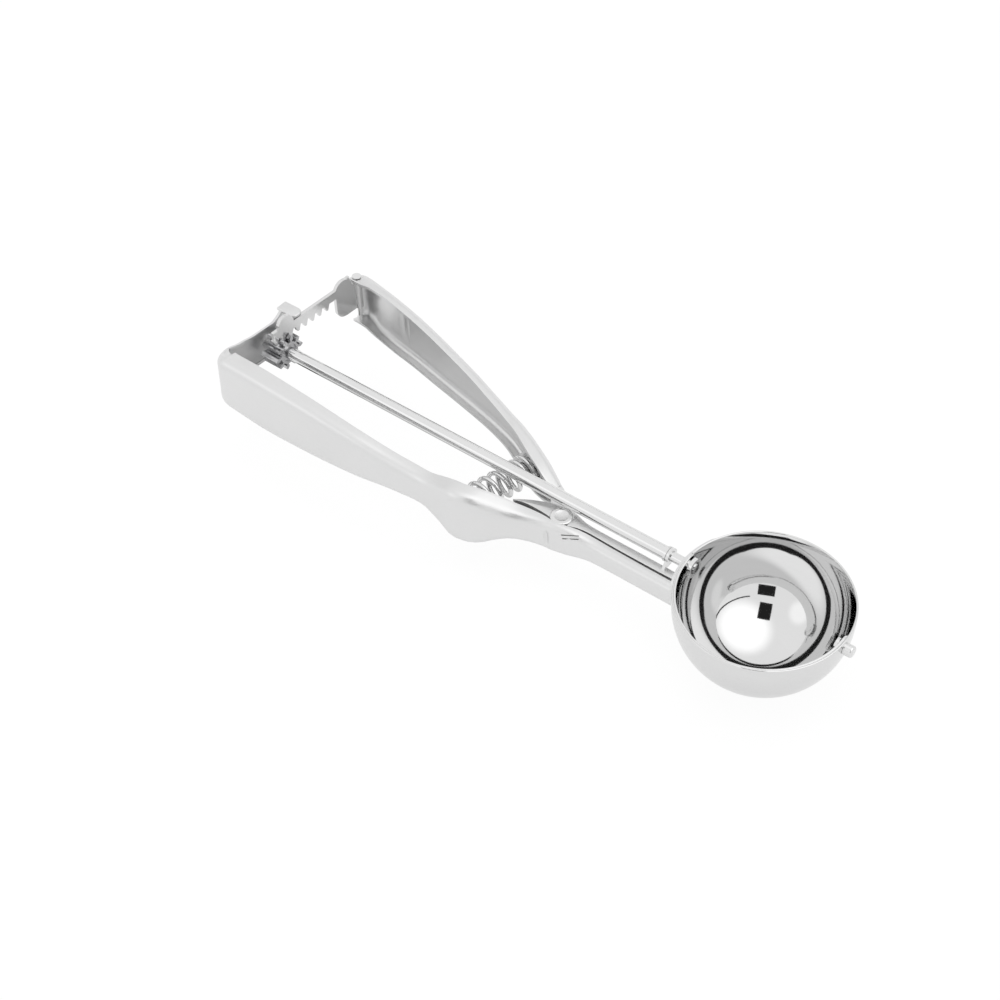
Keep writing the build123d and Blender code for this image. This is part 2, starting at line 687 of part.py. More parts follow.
def make_hinge_pin():
    top = middle_z(hinge_x) + lever_end_height / 2 + 0.14
    low = middle_z(hinge_x) - lever_end_height / 2 - 0.14
    pin = upright(hinge_x, hinge_y, hinge_pin_diameter, low - 0.2, top + 0.2)
    heads = upright(hinge_x, hinge_y, hinge_head_diameter, top, top + hinge_head_height)
    heads += upright(hinge_x, hinge_y, hinge_head_diameter, low - hinge_head_height, low)
    return pin + heads


# ---------------------------------------------------------------- front pin and spring
def make_front_pin():
    head = rod_cylinder(pin_head_diameter, bowl_radius, bowl_radius + pin_head_length)
    head = fillet(head.edges().sort_by(Axis.X)[-1:], 0.7)
    collar_end = blade_inside - axial_gap - 0.1
    collar = rod_cylinder(pin_collar_diameter, collar_end - pin_collar_thickness, collar_end)
    shank = rod_cylinder(pin_shank_diameter, collar_end - 0.2, bowl_radius + 1)
    return head + shank + collar


def spring_frame():
    """Local z runs along the spring, from the main handle's seat to the lever's seat."""
    start = Vector(spring_main_x, spring_main_y, spring_z)
    along = Vector(spring_lever_x, spring_lever_y, spring_z) - start
    return Plane(origin=start, x_dir=(0, 0, 1), z_dir=along), along.length


def make_spring_parts():
    axis_plane, length = spring_frame()
    coil_radius = (spring_diameter - spring_wire) / 2
    inset = spring_wire / 2 + spring_seat_gap
    height = length - 2 * inset
    path = Helix(pitch=height / spring_turns, height=height, radius=coil_radius)
    section = Plane(origin=path @ 0, z_dir=path % 0) * Circle(spring_wire / 2)
    coil = sweep(section, path=path)
    parts["return_spring"] = axis_plane * Pos(0, 0, inset) * coil
    seat = Cylinder(seat_diameter / 2, seat_depth, align=(Align.CENTER, Align.CENTER, Align.MAX))
    seat += Cylinder(spigot_diameter / 2, spigot_length, align=(Align.CENTER, Align.CENTER, Align.MIN))
    main_seat = (axis_plane * seat) - parts["main_handle"]
    parts["spring_seat_main"] = main_seat.solids().sort_by(Axis.Y)[-1]
    lever_seat = (axis_plane * Pos(0, 0, length) * Rot(180, 0, 0) * seat) - parts["lever_handle"]
    parts["spring_seat_lever"] = lever_seat.solids().sort_by(Axis.Y)[0]


# ---------------------------------------------------------------- all pieces
parts["main_handle"] = make_main_handle()
parts["neck_plate"] = make_neck_plate()
parts["bowl_saddle"] = make_saddle()
parts["bowl"] = make_bowl()
parts["rod_guide"] = make_rod_guide()
parts["rear_bush"] = make_rear_bush()
parts["front_pin"] = make_front_pin()
parts["lever_handle"] = make_lever()
parts["rack_hinge_pin"] = make_hinge_pin()
parts["rack"] = make_rack()
make_sweep_parts()
make_pivot_parts()
make_spring_parts()

os.makedirs("parts", exist_ok=True)
for name, shape in parts.items():
    export_step(shape, f"parts/{name}.step")
    print(name, "solids", len(shape.solids()), "volume", round(shape.volume, 1))
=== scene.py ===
import math
import bmesh
import bpy
from mathutils import Matrix, Vector


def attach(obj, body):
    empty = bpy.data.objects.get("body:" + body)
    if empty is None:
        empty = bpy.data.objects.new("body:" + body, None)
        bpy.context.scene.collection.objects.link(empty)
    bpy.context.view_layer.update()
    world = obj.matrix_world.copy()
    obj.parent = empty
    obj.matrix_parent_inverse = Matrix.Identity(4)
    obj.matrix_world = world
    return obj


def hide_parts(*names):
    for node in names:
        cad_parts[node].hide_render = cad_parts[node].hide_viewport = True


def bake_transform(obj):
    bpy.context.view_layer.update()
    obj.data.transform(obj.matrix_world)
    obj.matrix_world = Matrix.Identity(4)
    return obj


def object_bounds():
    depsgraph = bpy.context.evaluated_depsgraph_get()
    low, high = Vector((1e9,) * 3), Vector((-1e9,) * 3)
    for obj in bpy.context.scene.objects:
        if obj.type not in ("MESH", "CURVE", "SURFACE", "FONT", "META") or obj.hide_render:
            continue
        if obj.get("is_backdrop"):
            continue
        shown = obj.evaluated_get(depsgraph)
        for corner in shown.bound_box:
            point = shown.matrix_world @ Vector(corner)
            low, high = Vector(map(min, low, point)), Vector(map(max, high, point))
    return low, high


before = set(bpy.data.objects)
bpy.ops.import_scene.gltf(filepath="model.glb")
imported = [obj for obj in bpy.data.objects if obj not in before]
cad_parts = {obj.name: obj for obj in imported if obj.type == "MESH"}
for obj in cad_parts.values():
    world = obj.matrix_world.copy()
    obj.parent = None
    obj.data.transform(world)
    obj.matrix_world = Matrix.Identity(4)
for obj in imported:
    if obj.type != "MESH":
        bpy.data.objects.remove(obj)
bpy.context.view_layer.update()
MM = 0.001

# Sizes and places are in millimetres, apart from the studio's, which are in metres.
AXIS_DEPTH = 2.8                   # the sweep axis below the bowl's rim
BOWL_RADIUS = 25.0
BOWL_WALL = 0.6
SADDLE_MIDDLE = BOWL_RADIUS + 0.4  # halfway through the saddle plate
SHEET = 1.0                        # thickness of the handles
PIVOT_X = -64.7


# ---------------------------------------------------------------- shader groups
def shader_group(name, inputs, outputs):
    """An empty shader node group with named inputs and outputs."""
    tree = bpy.data.node_groups.new(name, "ShaderNodeTree")
    for label, kind, value in inputs:
        socket = tree.interface.new_socket(label, in_out="INPUT", socket_type=kind)
        if value is not None:
            socket.default_value = value
    for label, kind in outputs:
        tree.interface.new_socket(label, in_out="OUTPUT", socket_type=kind)
    return tree, tree.nodes.new("NodeGroupInput"), tree.nodes.new("NodeGroupOutput")


def maths(tree, operation, a, b=None, c=None, clamp=False):
    """A math node on sockets or numbers, and its output."""
    node = tree.nodes.new("ShaderNodeMath")
    node.operation = operation
    node.use_clamp = clamp
    for socket, value in zip(node.inputs, (a, b, c)):
        if value is None:
            continue
        if isinstance(value, (int, float)):
            socket.default_value = value
        else:
            tree.links.new(value, socket)
    return node.outputs[0]


def noise(tree, vector, scale, detail, rough=0.5, stretch=None):
    """Noise over a vector, in cycles per metre, finer across than along when stretched."""
    if stretch is not None:
        mapping = tree.nodes.new("ShaderNodeMapping")
        mapping.inputs["Scale"].default_value = stretch
        tree.links.new(vector, mapping.inputs["Vector"])
        vector = mapping.outputs[0]
    node = tree.nodes.new("ShaderNodeTexNoise")
    node.inputs["Scale"].default_value = scale
    node.inputs["Detail"].default_value = detail
    node.inputs["Roughness"].default_value = rough
    tree.links.new(vector, node.inputs["Vector"])
    return node.outputs["Fac"]


def polishing_marks():
    """Faint polishing lines and haze on steel: a tone, a roughness change and a height."""
    tree, start, end = shader_group(
        "polishing marks",
        [("Vector", "NodeSocketVector", None), ("Fine", "NodeSocketFloat", 9000.0)],
        [("Tone", "NodeSocketFloat"), ("Haze", "NodeSocketFloat"), ("Height", "NodeSocketFloat")],
    )
    vector = start.outputs["Vector"]
    lines = noise(tree, vector, 1.0, 3.0, 0.6, (260.0, 5200.0, 5200.0))
    cloud = noise(tree, vector, 55.0, 4.0, 0.55)
    grain_node = tree.nodes.new("ShaderNodeTexNoise")
    grain_node.inputs["Detail"].default_value = 2.0
    tree.links.new(vector, grain_node.inputs["Vector"])
    tree.links.new(start.outputs["Fine"], grain_node.inputs["Scale"])
    both = maths(tree, "MULTIPLY_ADD", lines, 0.5, maths(tree, "MULTIPLY", cloud, 0.5))
    tree.links.new(both, end.inputs["Tone"])
    tree.links.new(maths(tree, "SUBTRACT", cloud, 0.5), end.inputs["Haze"])
    grain = maths(tree, "MULTIPLY", grain_node.outputs["Fac"], 0.4)
    height = maths(tree, "MULTIPLY_ADD", lines, 0.6, grain)
    tree.links.new(height, end.inputs["Height"])
    return tree


MARKS = polishing_marks()


TURN_LENGTH = 0.004    # metres of marks to a radian round a turned piece
MARK_DEPTH = 0.00002   # metres


def steel(name, colour, roughness, haze=0.05, tone=0.05, bump=0.03, fine=9000.0, turned=None):
    """Polished stainless steel. Turned is the axis of a turned or spun piece, whose lines run round."""
    material = bpy.data.materials.new(name)
    material.use_nodes = True
    tree = material.node_tree
    tree.nodes.clear()
    out = tree.nodes.new("ShaderNodeOutputMaterial")
    shader = tree.nodes.new("ShaderNodeBsdfPrincipled")
    tree.links.new(shader.outputs[0], out.inputs["Surface"])
    shader.inputs["Metallic"].default_value = 1.0
    where = tree.nodes.new("ShaderNodeTexCoord").outputs["Object"]
    if turned is not None:
        centre, axis = turned
        mapping = tree.nodes.new("ShaderNodeMapping")
        mapping.inputs["Location"].default_value = [-c for c in centre]
        tree.links.new(where, mapping.inputs["Vector"])
        split = tree.nodes.new("ShaderNodeSeparateXYZ")
        tree.links.new(mapping.outputs[0], split.inputs[0])
        names = [n for n in "XYZ" if n != axis]
        squares = [maths(tree, "MULTIPLY", split.outputs[n], split.outputs[n]) for n in names]
        radius = maths(tree, "SQRT", maths(tree, "ADD", squares[0], squares[1]))
        angle = maths(tree, "ARCTAN2", split.outputs[names[1]], split.outputs[names[0]])
        join = tree.nodes.new("ShaderNodeCombineXYZ")
        tree.links.new(maths(tree, "MULTIPLY", angle, TURN_LENGTH), join.inputs[0])
        tree.links.new(radius, join.inputs[1])
        tree.links.new(split.outputs[axis], join.inputs[2])
        where = join.outputs[0]
    marks = tree.nodes.new("ShaderNodeGroup")
    marks.node_tree = MARKS
    marks.inputs["Fine"].default_value = fine
    tree.links.new(where, marks.inputs["Vector"])
    mix = tree.nodes.new("ShaderNodeMix")
    mix.data_type = "RGBA"
    mix.inputs["A"].default_value = [c * (1 - tone) for c in colour] + [1]
    mix.inputs["B"].default_value = [min(1.0, c * (1 + tone)) for c in colour] + [1]
    tree.links.new(marks.outputs["Tone"], mix.inputs["Factor"])
    tree.links.new(mix.outputs["Result"], shader.inputs["Base Color"])
    rough = maths(tree, "MULTIPLY_ADD", marks.outputs["Haze"], haze, roughness, clamp=True)
    tree.links.new(rough, shader.inputs["Roughness"])
    bumped = tree.nodes.new("ShaderNodeBump")
    bumped.inputs["Strength"].default_value = bump
    bumped.inputs["Distance"].default_value = MARK_DEPTH
    tree.links.new(marks.outputs["Height"], bumped.inputs["Height"])
    tree.links.new(bumped.outputs[0], shader.inputs["Normal"])
    return material


SWEEP_CENTRE = (0, 0, -AXIS_DEPTH * MM)
FINISH = {
    "handle": steel("handle_polished_steel", (0.78, 0.78, 0.78), 0.35),
    # Painted shade: the dark steel of the ledge under the neck plate's joint stands in for the shade in that
    # gap.
    "painted_seam_shade": steel("painted_seam_shade_steel", (0.24, 0.24, 0.24), 0.45),
    "plate": steel("plate_satin_steel", (0.80, 0.80, 0.80), 0.42),
    "bowl": steel(
        "bowl_spun_steel", (0.72, 0.72, 0.72), 0.05, haze=0.02, bump=0.01, turned=(SWEEP_CENTRE, "Z")
    ),
    "blade": steel("blade_polished_strip", (0.76, 0.76, 0.76), 0.08),
    "rod": steel("rod_drawn_steel", (0.76, 0.76, 0.76), 0.10, turned=(SWEEP_CENTRE, "X")),
    "gear": steel("gear_satin_steel", (0.55, 0.55, 0.56), 0.22),
    "rack": steel("rack_stamped_steel", (0.72, 0.72, 0.72), 0.2),
    "spring": steel("spring_bright_wire", (0.72, 0.72, 0.72), 0.1),
    "fastener": steel("fastener_turned_steel", (0.76, 0.76, 0.76), 0.20),
}
NODE_FINISH = {
    "main_handle": "handle", "lever_handle": "handle", "neck_plate": "plate", "bowl_saddle": "handle",
    "bowl": "bowl", "sweep_blade": "blade", "blade_hub": "blade",
    "drive_rod": "rod", "rod_collar": "rod", "rod_end_ring": "rod", "rack_hinge_pin": "rod",
    "drive_pinion": "gear", "rack": "rack", "return_spring": "spring",
}


# ---------------------------------------------------------------- making pieces
def finish_for(node):
    """The finish of a node; small turned pieces share one."""
    return NODE_FINISH.get(node, "fastener")


def worked(mesh, *steps):
    """The mesh after a row of modifiers, each a kind and its settings."""
    helper = bpy.data.objects.new("blank", mesh)
    bpy.context.scene.collection.objects.link(helper)
    for kind, settings in steps:
        modifier = helper.modifiers.new(kind, kind)
        for key, value in settings.items():
            setattr(modifier, key, value)
    graph = bpy.context.evaluated_depsgraph_get()
    result = bpy.data.meshes.new_from_object(helper.evaluated_get(graph), depsgraph=graph)
    bpy.data.objects.remove(helper)
    return result


def cut(mesh, cutter):
    """The mesh without what lies inside the cutter."""
    tool = bpy.data.objects.new("cutter", cutter)
    bpy.context.scene.collection.objects.link(tool)
    result = worked(mesh, ("BOOLEAN", {"operation": "DIFFERENCE", "solver": "EXACT", "object": tool}))
    bpy.data.objects.remove(tool)
    return result


def smooth(mesh, angle):
    """Smooth shading, with a crease where two faces meet at more than the angle."""
    mesh.shade_smooth()
    mesh.set_sharp_from_angle(angle=math.radians(angle))
    return mesh


def soft_edges(width, corner, clamp=True):
    """Bevel settings that round every edge sharper than the corner's angle."""
    return ("BEVEL", {
        "width": width * MM, "segments": 3, "limit_method": "ANGLE",
        "angle_limit": math.radians(corner), "use_clamp_overlap": clamp,
    })


def place(name, mesh, node, finish=None):
    """Put a finished mesh in the scene with its finish, in the stead of its plain node."""
    finish = finish or finish_for(node)
    mesh.materials.clear()
    mesh.materials.append(FINISH[finish])
    thing = bpy.data.objects.new(name, mesh)
    bpy.context.scene.collection.objects.link(thing)
    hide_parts(node)
    return thing


def merged(node):
    """A node's mesh with its loose triangles joined and its flat faces whole."""
    joined = bmesh.new()
    joined.from_mesh(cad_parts[node].data)
    bmesh.ops.remove_doubles(joined, verts=joined.verts, dist=2e-6)
    bmesh.ops.dissolve_limit(joined, angle_limit=math.radians(0.6), verts=joined.verts, edges=joined.edges)
    fresh = bpy.data.meshes.new(node)
    joined.to_mesh(fresh)
    joined.free()
    return fresh


def grid_mesh(name, rows, round_rows=False, round_columns=False):
    """Quads through rows of points, in millimetres, closed either way where asked."""
    mesh = bpy.data.meshes.new(name)
    wide = len(rows[0])
    points = [Vector(p) * MM for row in rows for p in row]
    faces = []
    for i in range(len(rows) if round_rows else len(rows) - 1):
        for j in range(wide if round_columns else wide - 1):
            a, b = i * wide + j, i * wide + (j + 1) % wide
            c, d = (i + 1) % len(rows) * wide + (j + 1) % wide, (i + 1) % len(rows) * wide + j
            faces.append((a, b, c, d))
    mesh.from_pydata(points, [], faces)
    return mesh


def outward(mesh, join=1e-6, close=True):
    """Doubles merged, holes at the ends closed where asked and every face turned outwards."""
    form = bmesh.new()
    form.from_mesh(mesh)
    bmesh.ops.remove_doubles(form, verts=form.verts, dist=join)
    if close:
        bmesh.ops.holes_fill(form, edges=[edge for edge in form.edges if edge.is_boundary])
    bmesh.ops.recalc_face_normals(form, faces=form.faces)
    form.to_mesh(mesh)
    form.free()
    return mesh


def bar_mesh(name, start, end, radius, sides=48):
    """A round bar between two points, closed at its ends."""
    a, b = Vector(start), Vector(end)
    along = (b - a).normalized()
    across = along.orthogonal().normalized()
    other = along.cross(across)
    turns = [2 * math.pi * k / sides for k in range(sides)]
    ring = [(across * math.cos(t) + other * math.sin(t)) * radius for t in turns]
    rows = [[p + r for r in ring] for p in (a, b)]
    return outward(grid_mesh(name, rows, round_columns=True))


# ---------------------------------------------------------------- bowl
BOWL_SIDES = 256
ROD_SLOT_HALF = 2.2
ROD_SLOT_X = (-27, -12)
PIN_HOLE_RADIUS = 1.3
PIN_HOLE_X = (20, 28)


def arc(centre, radius, start, end, steps):
    """Points on an arc between two angles in degrees."""
    angles = [math.radians(start + (end - start) * k / steps) for k in range(steps + 1)]
    return [(centre[0] + radius * math.cos(a), centre[1] + radius * math.sin(a)) for a in angles]


def make_bowl():
    """Spun bowl: a thin half ball with a short straight collar and a rolled rim."""
    half = BOWL_WALL / 2
    outside = arc((0, -AXIS_DEPTH), BOWL_RADIUS, -90, 0, 44)
    rim = arc((BOWL_RADIUS - half, -half), half, 0, 180, 8)
    inside = arc((0, -AXIS_DEPTH), BOWL_RADIUS - BOWL_WALL, 0, -90, 44)
    profile = outside + rim + inside
    profile[0] = (0.0, profile[0][1])
    profile[-1] = (0.0, profile[-1][1])
    rows = []
    for k in range(BOWL_SIDES):
        turn = 2 * math.pi * k / BOWL_SIDES
        rows.append([(r * math.cos(turn), r * math.sin(turn), z) for r, z in profile])
    shell = outward(grid_mesh("bowl_shell", rows, round_rows=True))
    base = arc((0, -AXIS_DEPTH), ROD_SLOT_HALF, 180, 360, 24)
    outline = base + [(ROD_SLOT_HALF, 1.0), (-ROD_SLOT_HALF, 1.0)]
    rows = [[(x, y, z) for y, z in outline] for x in ROD_SLOT_X]
    shell = cut(shell, outward(grid_mesh("slot", rows, round_columns=True)))
    inner, outer = [(x, 0, -AXIS_DEPTH) for x in PIN_HOLE_X]
    shell = cut(shell, bar_mesh("pin_hole", inner, outer, PIN_HOLE_RADIUS))
    thing = place("bowl_shell", smooth(shell, 40), "bowl")
    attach(thing, "frame")


# ---------------------------------------------------------------- blade
BLADE_RADIUS = 24.05
BLADE_THICK = 0.6
BLADE_HALF = 3.4       # half its width
BLADE_REST = 2.0       # degrees that its middle parks below the sweep axis
BLADE_ACROSS = [-1 + k / 5 for k in range(11)]
BLADE_STEPS = 96
BLADE_END_STEPS = 16


def hoop_point(turn, z):
    """A point of the blade's hoop, at an angle round it and a height across it."""
    ring = math.sqrt(BLADE_RADIUS ** 2 - z ** 2)
    return (ring * math.cos(turn), -ring * math.sin(turn), z)


def end_point(side, y, z):
    """A point of a round end of the blade, past the sweep axis by y."""
    return (side * math.sqrt(BLADE_RADIUS ** 2 - y ** 2 - z ** 2), y, z)


def make_blade():
    """Half a hoop of strip that follows the bowl, with round ends on the sweep axis."""
    angles = [math.radians(90 * k / BLADE_END_STEPS) for k in range(BLADE_END_STEPS - 1, 0, -1)]
    ends = [(BLADE_HALF * math.sin(a), BLADE_HALF * math.cos(a)) for a in angles]
    outline = [[end_point(1, y, wide * s) for s in BLADE_ACROSS] for y, wide in ends]
    for k in range(BLADE_STEPS + 1):
        turn = math.pi * k / BLADE_STEPS
        outline.append([hoop_point(turn, BLADE_HALF * s) for s in BLADE_ACROSS])
    for y, wide in reversed(ends):
        outline.append([end_point(-1, y, wide * s) for s in BLADE_ACROSS])
    rest = Matrix.Rotation(math.radians(BLADE_REST), 4, "X")
    rows = [[Vector((0, 0, -AXIS_DEPTH)) + rest @ Vector(p) for p in row] for row in outline]
    thick = {"thickness": BLADE_THICK * MM, "offset": 1.0, "use_even_offset": True}
    strip = worked(grid_mesh("blade_strip", rows), ("SOLIDIFY", thick), soft_edges(0.17, 50, clamp=False))
    thing = place("blade_strip", smooth(outward(strip), 50), "sweep_blade")
    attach(thing, "sweep")


# ---------------------------------------------------------------- spring
SPRING_START = Vector((-93.4, -17.2, -10.05))
SPRING_END = Vector((-87.2, 9.9, -10.05))
WIRE = 1.45
COIL_WIDTH = 9.8       # where the rod crosses it and at the lever
COIL_WIDENING = 1.6    # more at the main handle, gone by half its length
COIL_TURNS = 8.6
CLOSED_TURNS = 1.0     # at each end
SEAT_GAP = 0.08
COIL_STEPS = 48
WIRE_SIDES = 14


def make_spring():
    """Compression spring of round wire, with its end turns closed against the seats."""
    length = (SPRING_END - SPRING_START).length
    forward = (SPRING_END - SPRING_START).normalized()
    up = Vector((0, 0, 1))
    side = forward.cross(up)
    gap = WIRE / 2 + SEAT_GAP
    closed_rise = CLOSED_TURNS * WIRE
    open_rise = length - 2 * gap - 2 * closed_rise
    ring = [2 * math.pi * j / WIRE_SIDES for j in range(WIRE_SIDES)]
    rows = []
    for k in range(round(COIL_TURNS * COIL_STEPS) + 1):
        turn = k / COIL_STEPS
        if turn < CLOSED_TURNS:
            rise = turn * WIRE
        elif turn > COIL_TURNS - CLOSED_TURNS:
            rise = length - 2 * gap - (COIL_TURNS - turn) * WIRE
        else:
            rise = closed_rise + open_rise * (turn - CLOSED_TURNS) / (COIL_TURNS - 2 * CLOSED_TURNS)
        angle = 2 * math.pi * turn
        out = up * math.cos(angle) + side * math.sin(angle)
        widening = COIL_WIDENING * max(0.0, 1 - rise / (0.5 * length))
        centre = SPRING_START + forward * (gap + rise) + out * (COIL_WIDTH + widening - WIRE) / 2
        rows.append([centre + (out * math.cos(r) + forward * math.sin(r)) * WIRE / 2 for r in ring])
    mesh = outward(grid_mesh("spring_coil", rows, round_columns=True))
    thing = place("spring_coil", smooth(mesh, 60), "return_spring")
    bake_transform(thing)


# ---------------------------------------------------------------- pressed handles
NECK_Z = -9.25         # mid-plane of the neck
HANDLE_RISE = 0.0605   # of that plane behind the pivot, per millimetre
BEND_STEPS = 7
FLANGE_STEPS = 3
EDGE_ROUND = 0.3       # on the sheet's cut edges


def middle_z(x):
    """Height of the handles' mid-plane."""
    return NECK_Z + HANDLE_RISE * max(0.0, PIVOT_X - x)


def between(a, b, part):
    return a + (b - a) * part


def eased_part(part):
    """A share from 0 to 1 that starts and stops gently."""
    return part * part * (3 - 2 * part)


def slopes(x, y):
    """Slope at each station, flat at a crest, so that nothing swells between two stations."""
    steps = [(y[i + 1] - y[i]) / (x[i + 1] - x[i]) for i in range(len(x) - 1)]
    inner = [0.0 if a * b <= 0 else 2 * a * b / (a + b) for a, b in zip(steps, steps[1:])]
    return [steps[0]] + inner + [steps[-1]]


def stations_at(stations, places):
    """The stations' values at the places, on smooth curves through them."""
    columns = list(zip(*stations))
    x = columns[0]
    slope = [slopes(x, column) for column in columns]
    result = []
    for at in places:
        i = max([k for k in range(len(x) - 1) if x[k] <= at] or [0])
        width = x[i + 1] - x[i]
        t = (at - x[i]) / width
        values = [at]
        for column, m in zip(columns[1:], slope[1:]):
            values.append(
                column[i] * (1 + 2 * t) * (1 - t) ** 2 + column[i + 1] * t * t * (3 - 2 * t)
                + width * (m[i] * t * (1 - t) ** 2 - m[i + 1] * t * t * (1 - t))
            )
        result.append(values)
    return result


def section(point, inward, depth, low, top, corner, lean=0.0, groove=0.0):
    """A row of points over a pressed section: upper flange, bend, web, bend and lower flange."""
    turns = [math.radians(90 * k / BEND_STEPS) for k in range(BEND_STEPS + 1)]
    profile = [(between(depth, corner, k / FLANGE_STEPS), top) for k in range(FLANGE_STEPS)]
    profile += [(corner - corner * math.sin(a), top - corner + corner * math.cos(a)) for a in turns]
    for k in range(1, BEND_STEPS):
        part = k / BEND_STEPS
        profile.append((groove * math.sin(math.pi * part), between(top - corner, low + corner, part)))
    profile += [(corner - corner * math.cos(a), low + corner - corner * math.sin(a)) for a in turns]
    profile += [(between(corner, depth, k / FLANGE_STEPS), low) for k in range(1, FLANGE_STEPS + 1)]
    row = []
    for reach, z in profile:
        x = point[0] + inward[0] * reach + lean * (z + AXIS_DEPTH)
        row.append(Vector((x, point[1] + inward[1] * reach, z)))
    return row


def pressed(name, rows, outside):
    """The sheet through the rows, thickened inwards, with its cut edges eased."""
    sheet = grid_mesh(name, rows)
    middle = sheet.polygons[len(sheet.polygons) // 2]
    if middle.normal.dot(Vector(outside)) < 0:
        sheet.flip_normals()
    thick = {"thickness": SHEET * MM, "offset": -1.0, "use_even_offset": False}
    return worked(sheet, ("SOLIDIFY", thick), soft_edges(EDGE_ROUND, 60))


FINE_STEP = 0.3
COARSE_STEP = 2.0


def steps_between(start, end, spacing, fine=()):
    """Places along a handle, closer together in the fine stretches."""
    places = [start]
    while places[-1] < end - 1e-6:
        near = any(a <= places[-1] < b for a, b in fine)
        places.append(min(end, places[-1] + (FINE_STEP if near else spacing)))
    return places


# Each station: x, y of the web, depth of the flanges, height of the channel, radius of its bends.
GRIP_STATIONS = [
    (-178.0, -24.0, 6.0, 20.0, 3.0), (-165.75, -24.0, 6.0, 21.0, 3.0), (-149.75, -23.5, 5.5, 20.1, 3.0),
    (-129.7, -22.6, 5.0, 16.7, 3.0), (-114.7, -21.2, 4.7, 12.8, 3.0), (-104.7, -20.4, 4.6, 11.6, 3.0),
    (-97.7, -21.0, 5.3, 15.4, 3.0), (-91.7, -21.9, 5.9, 19.3, 3.0), (-87.2, -21.0, 6.3, 19.1, 3.0),
    (-83.7, -19.5, 6.5, 17.3, 3.0), (-79.7, -16.9, 6.1, 13.5, 3.0), (-75.7, -14.6, 5.5, 11.0, 2.8),
    (-71.7, -12.7, 4.5, 10.4, 2.5), (-67.7, -11.3, 3.4, 10.5, 2.3), (-63.7, -10.4, 2.3, 10.9, 2.0),
    (-59.7, -9.8, 2.9, 10.4, 2.2), (-55.7, -9.2, 3.4, 9.0, 2.2), (-51.7, -8.8, 3.4, 7.8, 2.2),
    (-44.7, -8.8, 3.3, 7.4, 2.2), (-32.7, -8.8, 3.1, 7.4, 2.2), (-20.0, -8.8, 3.1, 7.4, 2.2),
]
LEVER_STATIONS = [
    (-175.0, 36.6, 6.0, 17.7, 3.0), (-171.55, 36.6, 6.0, 17.7, 3.0), (-165.55, 35.0, 4.8, 20.3, 3.0),
    (-157.55, 33.4, 4.3, 21.3, 3.0), (-147.55, 31.7, 4.3, 20.5, 3.0), (-137.55, 29.5, 4.3, 19.4, 3.0),
    (-127.55, 27.1, 4.2, 17.6, 3.0), (-117.55, 24.6, 4.2, 15.6, 3.0), (-108.0, 21.9, 4.3, 13.3, 3.0),
    (-100.0, 19.4, 4.6, 12.3, 3.0), (-94.0, 17.2, 5.0, 14.3, 3.0), (-88.0, 14.6, 5.6, 16.6, 3.0),
    (-83.0, 12.3, 5.8, 14.7, 3.0), (-78.0, 9.8, 5.6, 11.0, 2.8), (-74.0, 7.6, 4.6, 7.6, 2.2),
    (-72.6, 6.8, 4.3, 6.6, 2.0),
]

GRIP_X = (-177.0, -20.5)             # from the rear corner to the bowl
GRIP_FINE = [(-68.0, -63.5)]
GRIP_CREASE = (-65.7, 0.95, 0.6)     # x, depth, width
LEVER_FINE = [(-153.5, -150.5)]
LEVER_CREASE = (-152.0, 0.5, 0.7)
LEVER_DIP = (-87.0, 2.0, 7.0)        # lower top edge by the finger guard

# Two slots in the bend beside the rivet: ends in plan at SLOT_Z, cut on a slant.
SLOT_Z = -4.5
SLOT_WIDTH = 0.36
SLOT_SLANT = (0.387, -0.779)
SLOT_HEIGHTS = (-7.5, -2.5)
SLOTS = [((-60.4, -10.7), (-56.0, -8.0)), ((-59.5, -11.7), (-55.4, -9.1))]

# End wall of the grip.
WALL_X = -183.75                     # outer face where y = 0, at the rod's height
WALL_TURN = 4.0                      # degrees in plan
WALL_LEAN = 0.158                    # towards the bowl, per millimetre of height
WALL_Y = (9.2, -17.0)
WALL_STEPS = 26
WALL_DEPTH = 1.35
WALL_ROUND = 1.1
WALL_LOW = -10.0
WALL_LOW_RISE = (5.5, 1.1)           # where its lower edge starts to rise, and how steeply
WALL_TOPS = [(-17.0, 6.6), (-12.0, 5.4), (-6.0, 4.6), (1.5, 4.6), (3.6, 5.6), (4.9, 7.4), (9.2, 7.4)]

# Rear corner: from the end wall's section to the grip's.
CORNER_CENTRE = (-178.4, -17.6)
CORNER_RADIUS = 6.4
CORNER_STEPS = 16
CORNER_TOP = (6.7, 7.7)
CORNER_LOW = (WALL_LOW, -12.3)
CORNER_DEPTH = (WALL_DEPTH, 6.0)
CORNER_ROUND = (WALL_ROUND, 3.0)
CORNER_COVER = 0.7                   # under 1 brings the flange out sooner

KEEPER_REAR = [(-182.6, 5.0), (-182.6, 9.2)]
KEEPER_Z = (6.8, 7.8)


def crease(x, at, depth, width):
    """Depth at x of a soft groove or dip."""
    return depth * math.exp(-((x - at) / width) ** 2)


def wall_top(y):
    """Height of the end wall's upper edge."""
    i = max([k for k in range(len(WALL_TOPS) - 1) if WALL_TOPS[k][0] <= y] or [0])
    (y0, z0), (y1, z1) = WALL_TOPS[i], WALL_TOPS[i + 1]
    return between(z0, z1, eased_part(min(1.0, (y - y0) / (y1 - y0))))


